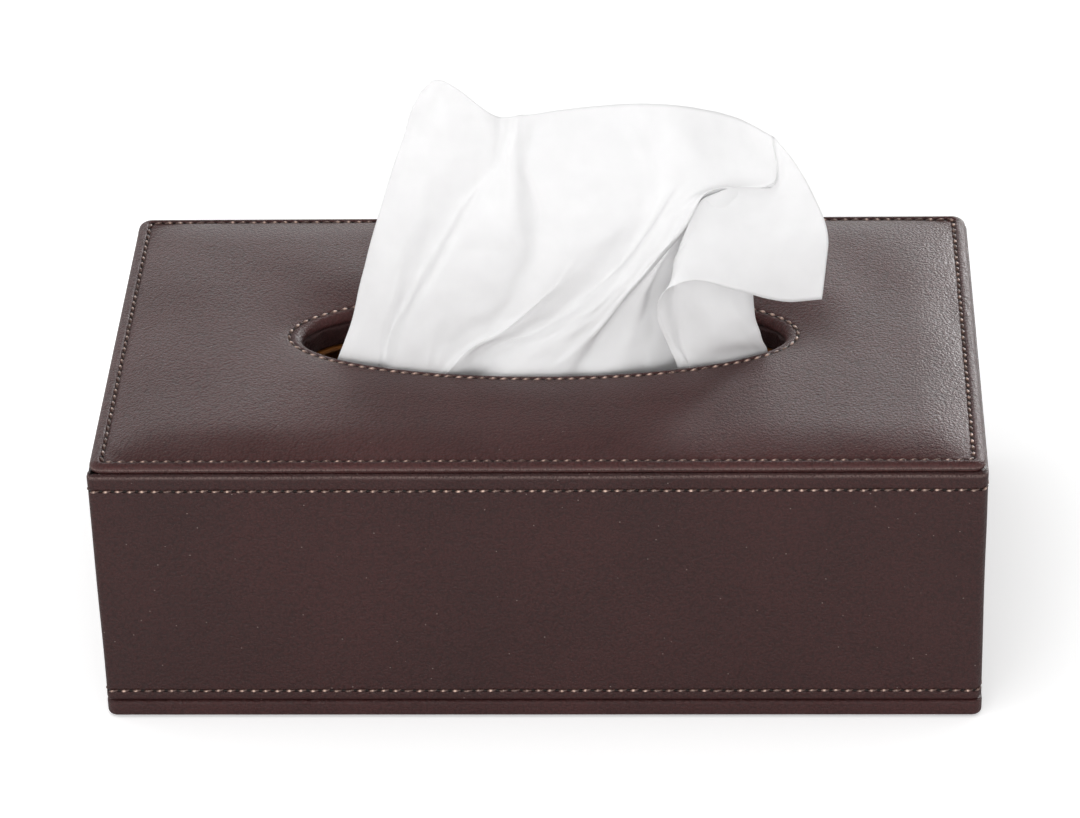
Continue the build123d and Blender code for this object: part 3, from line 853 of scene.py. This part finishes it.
front_seam[..., 0] = front_far / front_far[-1] * n_front
front_seam[..., 1] = np.array([gap for points, gap in front_rows])[:, None] * 1000
front_leather = surface("drawer_front_leather", [points for points, gap in front_rows], seam=front_seam)
dress(front_leather, "drawer", "leather_brown",
      brown_leather("brown_leather_front", seam_rows=True, tone=0.92), "drawer_front_cover")

flat, ahead = stitches_on(front_line, front_far, n_front)
row = thread_row("drawer_front_stitches", front_ring(front_x + THREAD_SEAT, flat), front_ring(0.0, ahead),
                 np.tile([-1.0, 0.0, 0.0], (n_front, 1)), STITCH_PITCH_WALL)
dress(row, "drawer", "leather_brown", thread)

# --- Carton and tissues in the drawer --------------------------------------------------------
# A flat carton of facial tissues, orange-brown outside and raw card inside, with the oval torn
# out of its top. About half of the folded leaves are left in it.


def printed_card():
    """Coated orange-brown card: even ink, a faint fibre texture and a soft shine."""
    recipe = new_recipe("orange_carton", (0.30, 0.105, 0.022, 1.0), 0.42)
    fibre = recipe.texture("TexNoise", Scale=900.0, Detail=4.0)["Fac"]
    share = recipe.spread(fibre, 0.35, 0.65)
    colour = recipe.mix(share, (0.21, 0.072, 0.016, 1.0), (0.27, 0.098, 0.022, 1.0))
    return recipe.finish(colour, recipe.bump(fibre, 0.25, 0.0001))


refinish(printed_card(), "tissue_carton")

THROUGH = 0.30                         # share of the light that goes through the paper


def soft_paper(name):
    """White tissue paper: soft, matt and a little see-through, with a fine creped grain."""
    recipe = new_recipe(name, (0.90, 0.895, 0.90, 1.0), 0.9, Specular_IOR_Level=0.1)
    crepe = recipe.texture("TexNoise", Scale=1600.0, Detail=3.0, Roughness=0.6)["Fac"]
    cloud = recipe.texture("TexNoise", Scale=160.0, Detail=3.0)["Fac"]
    share = recipe.spread(cloud, 0.3, 0.7)
    colour = recipe.mix(share, (0.930, 0.927, 0.930, 1.0), (0.955, 0.952, 0.955, 1.0))
    material = recipe.finish(colour, recipe.bump(crepe, 0.15, 0.0001))
    through = recipe.add("BsdfTranslucent", Color=colour).outputs[0]
    both = recipe.add("MixShader", THROUGH, recipe.skin.outputs[0], through).outputs[0]
    recipe.fill(recipe.tree.nodes["Material Output"], "Surface", both)
    return material


LEAVES = 15
LEAF_CORNER = 0.003

tissue_white = soft_paper("white_tissue")
stack_low, stack_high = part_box("tissue_stack")
leaf_thick = (stack_high.z - stack_low.z) / LEAVES
stack_steps = (90, 50, 6)


def leaf_outline(inset, radius=LEAF_CORNER):
    """The stack's plan outline, drawn in by an inset."""
    return rounded_rectangle(stack_high.x - inset, stack_high.y - inset, radius, stack_steps)


pick = np.random.default_rng(21)
stack_rows = [ring(leaf_outline(0.004), stack_low.z)]
for leaf in range(LEAVES):
    bottom = stack_low.z + (stack_high.z - stack_low.z) * leaf / LEAVES
    back = pick.uniform(0.0, 0.0009)
    for part, tuck in ((0.08, 0.0009), (0.3, 0.0001), (0.7, 0.0), (0.92, 0.0009)):
        outline = leaf_outline(back + tuck)
        far = np.arange(len(outline)) / len(outline)
        wavy = 0.0004 * np.sin(2 * np.pi * far * pick.integers(5, 11) + pick.uniform(0, 6))
        stack_rows.append(ring(outline, bottom + part * leaf_thick + wavy * (leaf > 0)))
for inset in (0.004, 0.012, 0.024, 0.038, 0.0505):
    outline = leaf_outline(inset, 0.001)
    sag = 0.0012 * slow_waves(*outline.T, seed=17, reach=0.08) - 0.0015 * inset / 0.05
    stack_rows.append(ring(outline, stack_high.z - 0.0006 + sag))
stack = surface("tissue_leaves", stack_rows, caps=((0, False), (len(stack_rows) - 1, True)))
dress(stack, "drawer", "tissue_paper", tissue_white, "tissue_stack")

# --- The tissue that stands out --------------------------------------------------------------
# One two-ply sheet, half drawn. It is gathered in the slot, stands up in soft slanting folds,
# and its right end turns back on itself and flops over forwards like a collar.

TISSUE_FLAT = (0.195, 0.100)
# Points of the sheet's folds in millimetres. Each line runs from the slot up to the
# free edge, and the lines follow one another across the sheet, from its left edge to the right.
fold_lines = {
    "left_edge": [(-62.5, -6.5, 78.6), (-60, -10, 86.5), (-56, -7, 96), (-52, -5, 112),
                  (-47, -4.5, 129.5), (-42.5, -4, 144.5), (-38, -4, 158), (-35, -4, 167.5),
                  (-32.5, -4, 172)],
    "left_hem": [(-59, -8, 78.6), (-56.5, -11.5, 86.5), (-53, -9, 96), (-48, -7.5, 113),
                 (-42.5, -7, 130), (-37.5, -6, 145), (-33, -5, 158.5), (-30.5, -4.5, 169),
                 (-29, -4, 175.5)],
    "left_panel": [(-52, -5, 78.6), (-49.5, -12.5, 85.5), (-47.5, -11, 94), (-42, -9.5, 112),
                   (-36.5, -9, 128.5), (-31, -8, 144), (-26, -6.5, 157.5), (-24.5, -5.5, 167),
                   (-24, -4.5, 174.5)],
    "left_valley": [(-48.5, -5, 78.6), (-46, -13, 85), (-44, -10.5, 94), (-37.5, -8, 107),
                    (-29.5, -7.5, 122.5), (-22.5, -7, 135), (-17, -6.5, 145), (-13.5, -6, 153.5),
                    (-13.5, -4.6, 165.5)],
    "first_edge": [(-46, -12.5, 78.6), (-42.5, -16, 86.5), (-41, -14.5, 96.5), (-33.5, -13.5, 112),
                   (-26.5, -12, 124.5), (-20.5, -9.5, 136), (-14.5, -6.5, 145), (-11, -4.8, 153.5),
                   (-10.5, -3, 163)],
    "first_panel": [(-41.5, -14, 78.6), (-37.5, -17, 86.5), (-35.5, -16, 97), (-27.5, -15, 110.5),
                    (-22, -13.5, 122), (-16, -11.5, 133.5), (-11.5, -8, 144), (-9, -5.3, 152.5),
                    (-7.5, -2, 162.5)],
    "dent_ridge": [(-37.5, -14.5, 78.6), (-32.5, -18, 86.5), (-29.5, -16.5, 94), (-18.5, -15.2, 104.5),
                   (-10.5, -13.9, 112.5), (-6.5, -13.3, 123.5), (-6, -11, 138.5), (-6.5, -6.2, 151.5),
                   (-4.5, -0.9, 162.5)],
    "dent": [(-34.5, -14.5, 78.6), (-29.5, -18.5, 86.5), (-25, -16.5, 92.5), (-13.5, -14.3, 101.5),
             (-5, -12.9, 112), (-1, -10.8, 123), (0, -8.4, 132), (-3, -4.5, 149.5), (-1, 0.3, 162)],
    "body": [(-33, -13, 78.6), (-28, -18.5, 86.5), (-23, -17, 92.5), (-10.5, -15, 100.5),
             (0.5, -14.2, 110.5), (5, -12.9, 122), (6, -10.2, 133), (2, -5, 147.5), (5, 2.3, 162)],
    "valley_brow": [(-31.5, -11, 78.6), (-27, -18.5, 86.5), (-20.5, -17, 93), (-8.5, -15.4, 100),
                    (4.5, -14.4, 112.5), (14.5, -12.6, 123), (22.5, -10.4, 131.5), (25, -5.5, 142),
                    (20.5, 5.5, 162)],
    "valley": [(-25, -9, 78.6), (-18.5, -16, 84.5), (-14.5, -14.5, 92), (-4, -12.6, 96),
               (9.5, -11.9, 106), (20.5, -10.5, 116), (29, -8.9, 126.5), (35, -5, 140), (32, 7, 161.5)],
    "column": [(-14, -17, 78.6), (-10.5, -20, 86.5), (-4, -17.5, 92.5), (7, -16, 100), (19, -15.2, 111),
               (28, -13.8, 123), (35, -11.3, 134.5), (43.5, -5.5, 146), (46.5, 8.5, 159)],
    "column_right": [(-5, -18, 78.6), (-1.5, -20.5, 86.5), (5.5, -18, 92), (16, -16.3, 102.5),
                     (27, -15.3, 115.5), (37, -13.5, 128.5), (44, -10.5, 140), (56.5, -4, 145),
                     (58, 7.5, 156)],
    "column_edge": [(3, -16.5, 78.6), (6, -20, 86.5), (12, -17.5, 93), (21, -15.5, 104.5),
                    (32, -14.5, 119.5), (42.5, -13, 133), (48, -10.5, 142), (67.5, -4.5, 142.5),
                    (67, 3, 153)],
    "column_back": [(7, -13, 78.6), (11, -18.5, 86), (14.5, -14.5, 91), (20.5, -11.5, 101),
                    (31.5, -10.5, 115.5), (42, -9.8, 130), (47.5, -8.5, 140), (67.5, -4.35, 142),
                    (67, 2.9, 153)],
    "recess_fold": [(15, -12, 78.6), (19, -19, 86.5), (22.5, -15.5, 91.5), (26.5, -12, 98.5),
                    (30.5, -11, 110), (40, -9.8, 127.5), (47, -7.8, 138), (67.5, -4.25, 142),
                    (67, 2.8, 153)],
    "recess": [(24, -9, 78.6), (28.5, -15, 85), (29.5, -12, 94), (31, -8.5, 102.5), (34.5, -9.2, 114),
               (42.5, -8.2, 126), (48, -7, 136.5), (67.5, -4.2, 141.5), (67.5, 2.7, 152.5)],
    "recess_back": [(33, -8, 78.6), (33.5, -13.5, 85), (34, -10.5, 93), (37, -7, 102), (41, -7.5, 114),
                    (48, -6.4, 125.5), (54.5, -5.2, 135), (68, -4.15, 141.5), (67.5, 2.6, 152.5)],
    "back_layer": [(49, -4.5, 78.6), (48.5, -5.5, 87.5), (49.5, -4.5, 93.5), (51, -2.5, 101),
                   (52.5, -4.5, 112.5), (56.5, -4, 122.5), (61.5, -3, 131), (68, -4.1, 141),
                   (67.5, 2.5, 152.5)],
    "right_turn": [(63.5, -9, 78.6), (65.5, -7, 86), (64, -10, 92), (62.5, -10.5, 98.5),
                   (61.5, -9.5, 106), (62, -7.5, 117), (64.5, -4, 126.5), (68.5, -4.2, 140.5),
                   (68, 2.3, 152.5)],
    "turn_front": [(59, -10.5, 78.6), (62, -9, 87), (60.5, -12.5, 93), (59, -13.8, 101),
                   (57, -13, 108.5), (54, -11.5, 127), (57.5, -7.5, 142.5), (68.5, -4.8, 139.5),
                   (73, -1, 147.5)],
    "front_panel": [(52, -13.5, 78.6), (53.5, -13, 88), (52, -15.5, 94), (50.5, -15.6, 102),
                    (48.5, -15, 110.5), (43.5, -13, 129), (47, -9.5, 139.5), (65.5, -8.5, 135.5),
                    (78.5, -5, 139)],
    "collar_inside": [(44.5, -12.5, 78.6), (44, -15, 87.5), (41.5, -14, 93.5), (40, -13.2, 102.5),
                      (39.5, -13.5, 111.5), (39, -13.5, 122), (47.5, -12, 132.5), (67.5, -12.2, 128.5),
                      (83, -9, 127.5)],
    "collar_brow": [(42, -14, 78.6), (42, -16.5, 88), (39, -16, 94), (36, -16.5, 104),
                    (37, -17.3, 113.5), (41.5, -16.6, 121.5), (53, -15.6, 123.5), (69, -13.4, 118),
                    (82.5, -10.4, 116.5)],
    "side_edge": [(40, -14.5, 78.6), (39.5, -16.5, 87.5), (37, -16, 94), (34, -17, 104),
                  (35.5, -18.5, 113.5), (43.5, -17.8, 117), (56.5, -17, 113.5), (70.5, -13.8, 107.5),
                  (81.5, -11.8, 107)],
}
MM = 0.001
TISSUE_ROWS = 120
TISSUE_COLUMNS = 260
SMOOTHINGS = 9
CREASES = 7
PLY_THICK = 0.00016


def smooth_line(points, count):
    """Points of a smooth curve through given ones: cubic Hermite pieces whose slopes are those
    of the chord between the neighbours, spaced by chord length. Any axes after the first ride
    along, so a list of lines gives a surface."""
    points = np.asarray(points, float)
    gaps = np.linalg.norm(np.diff(points, axis=0), axis=-1)
    gaps = gaps.reshape(len(gaps), -1).mean(1) ** 0.75
    at = np.concatenate([[0.0], np.cumsum(gaps)])
    slopes = np.gradient(points, at, axis=0)
    where = np.linspace(0, at[-1], count)
    k = np.clip(np.searchsorted(at, where, side="right") - 1, 0, len(at) - 2)
    width = at[k + 1] - at[k]
    t = (where - at[k]) / width
    shape = (-1,) + (1,) * (points.ndim - 1)
    t = t.reshape(shape)
    width = width.reshape(shape)
    return ((2 * t ** 3 - 3 * t ** 2 + 1) * points[k] + (t ** 3 - 2 * t ** 2 + t) * width * slopes[k]
            + (3 * t ** 2 - 2 * t ** 3) * points[k + 1] + (t ** 3 - t ** 2) * width * slopes[k + 1])


lines = np.array([smooth_line(line, TISSUE_ROWS) for line in fold_lines.values()]) * MM
sheet_grid = smooth_line(lines, TISSUE_COLUMNS).transpose(1, 0, 2)
for _ in range(SMOOTHINGS):
    beside = sheet_grid[:-2, 1:-1] + sheet_grid[2:, 1:-1] + sheet_grid[1:-1, :-2] + sheet_grid[1:-1, 2:]
    sheet_grid[1:-1, 1:-1] = 0.5 * sheet_grid[1:-1, 1:-1] + 0.125 * beside
across, upward = np.meshgrid(np.linspace(0, TISSUE_FLAT[0], TISSUE_COLUMNS),
                             np.linspace(0, TISSUE_FLAT[1], TISSUE_ROWS))
sheet_out = unit(np.cross(np.gradient(sheet_grid, axis=1), np.gradient(sheet_grid, axis=0)))
crumple = 0.00022 * slow_waves(across, upward, seed=31, reach=0.030)
crumple += 0.00010 * slow_waves(across, upward, seed=32, reach=0.011)
pick = np.random.default_rng(33)
for _ in range(CREASES):
    centre = pick.uniform((0, 0.01), TISSUE_FLAT)
    lean = pick.normal(1.0, 0.5)
    off = (across - centre[0]) * np.sin(lean) - (upward - centre[1]) * np.cos(lean)
    on = (across - centre[0]) * np.cos(lean) + (upward - centre[1]) * np.sin(lean)
    crumple += pick.normal(0, 0.0002) * np.exp(-np.abs(off) / 0.0022 - (on / 0.016) ** 2)
calm = np.clip(upward / 0.012, 0, 1)
sheet_grid = sheet_grid + sheet_out * (crumple * calm)[..., None]
tissue = surface("standing_tissue", sheet_grid, round_stations=False)
ply = tissue.modifiers.new("two_plies", "SOLIDIFY")
ply.thickness = PLY_THICK
ply.offset = 0.0
dress(tissue, "tissue", "tissue_paper", tissue_white, "pulled_tissue")

# --- Table, light and camera -----------------------------------------------------------------
# A white table under an even white sky, a wide lamp in front and a weaker one overhead. Two white
# cards behind are seen in the leather's sheen only and brighten its back and right edges.

SKY_LIGHT = 0.74
SKY_SEEN = (0.15, 0.80, 1.54, 0.18)    # as seen and mirrored: 1.54 below a height of 0.15, falling
                                       # to 0.18 at 0.80
TABLE_GLOW = 0.36
WHITE = (1.0, 1.0, 1.0, 1.0)


def stage_material():
    """White table: matt for light and shadow, and a little glow where the camera sees it, which
    brings plain white without more light on the box."""
    material = bpy.data.materials.new("white_table")
    material.use_nodes = True
    recipe = Recipe(material.node_tree)
    recipe.tree.nodes.clear()
    matt = recipe.add("BsdfDiffuse", Color=(0.90, 0.90, 0.90, 1.0)).outputs[0]
    dark, glow = (recipe.add("Emission", Strength=light).outputs[0] for light in (0.0, TABLE_GLOW))
    seen = recipe.add("LightPath").outputs["Is Camera Ray"]
    shown = recipe.add("MixShader", seen, dark, glow).outputs[0]
    recipe.add("OutputMaterial", recipe.add("AddShader", matt, shown).outputs[0])
    return material


TABLE_HALF = 4.0
table_grid = np.array([[(-TABLE_HALF, -TABLE_HALF, 0), (TABLE_HALF, -TABLE_HALF, 0)],
                       [(-TABLE_HALF, TABLE_HALF, 0), (TABLE_HALF, TABLE_HALF, 0)]])
table = surface("table", table_grid, round_stations=False)
table.data.materials.append(stage_material())

studio = bpy.data.worlds.new("studio")
bpy.context.scene.world = studio
studio.use_nodes = True
sky = Recipe(studio.node_tree)
lit_sky = sky.tree.nodes["Background"]
sky.fill(lit_sky, "Color", WHITE)
sky.fill(lit_sky, "Strength", SKY_LIGHT)
upward = sky.add("SeparateXYZ", sky.add("TexCoord").outputs["Generated"]).outputs[2]
seen_sky = sky.add("Background", WHITE, sky.spread(upward, *SKY_SEEN))
ray = sky.add("LightPath").outputs
mirrored = sky.math("MAXIMUM", ray["Is Camera Ray"], ray["Is Glossy Ray"])
mirrored = sky.math("MAXIMUM", mirrored, ray["Is Transmission Ray"])
choice = sky.add("MixShader", mirrored, lit_sky.outputs[0], seen_sky.outputs[0])
sky.fill(sky.tree.nodes["World Output"], "Surface", choice.outputs[0])


def placed(side, upright, backward, place):
    """The matrix that turns an object's own axes to three directions and puts it at a place."""
    return Matrix(np.vstack([np.column_stack([side, upright, backward, place]), (0, 0, 0, 1)]).tolist())


def soft_lamp(name, place, aim, size, power, gloss_only=False):
    """A rectangular area lamp at a place, turned towards a point. Where asked it is seen in
    glosses only, as a white card behind the set would be."""
    lamp = bpy.data.lights.new(name, "AREA")
    lamp.shape = "RECTANGLE"
    lamp.size, lamp.size_y = size
    lamp.energy = power
    holder = bpy.data.objects.new(name, lamp)
    holder.visible_diffuse = not gloss_only
    forward = unit(np.subtract(aim, place))
    side = unit(np.cross(forward, (0.0, 0.0, 1.0)))
    holder.matrix_world = placed(side, np.cross(side, forward), -forward, place)
    bpy.context.scene.collection.objects.link(holder)


soft_lamp("front_lamp", (-0.3, -1.80, 0.55), (0.0, 0.0, 0.08), (1.6, 0.7), 14.5)
soft_lamp("overhead_lamp", (-0.6, -0.3, 1.8), (0.0, 0.0, 0.05), (1.2, 1.0), 5.5)
soft_lamp("right_card", (1.20, 1.75, 0.55), (0.0, 0.0, 0.08), (0.6, 0.5), 33.0, gloss_only=True)
soft_lamp("horizon_card", (0.0, 2.1, 0.28), (0.0, 0.0, 0.08), (2.4, 0.4), 6.8, gloss_only=True)

LENS_PIXELS = 4474.7
IMAGE_WIDTH = 1080
SENSOR = 36.0
CAMERA_PLACE = (0.05368, -1.11706, 0.78482)
YAW, PITCH, ROLL = np.radians((-2.836, 32.877, -1.720))
forward = np.array([np.sin(YAW) * np.cos(PITCH), np.cos(YAW) * np.cos(PITCH), -np.sin(PITCH)])
level_right = np.array([np.cos(YAW), -np.sin(YAW), 0.0])
level_up = np.cross(level_right, forward)
right = np.cos(ROLL) * level_right + np.sin(ROLL) * level_up
upward_view = np.cos(ROLL) * level_up - np.sin(ROLL) * level_right
eye = bpy.data.cameras.new("camera")
eye.sensor_fit = "HORIZONTAL"
eye.sensor_width = SENSOR
eye.lens = LENS_PIXELS * SENSOR / IMAGE_WIDTH
eye.clip_start = 0.01
camera = bpy.data.objects.new("camera", eye)
camera.matrix_world = placed(right, upward_view, -forward, CAMERA_PLACE)
bpy.context.scene.collection.objects.link(camera)
bpy.context.scene.camera = camera
bpy.context.scene.view_settings.view_transform = "Standard"
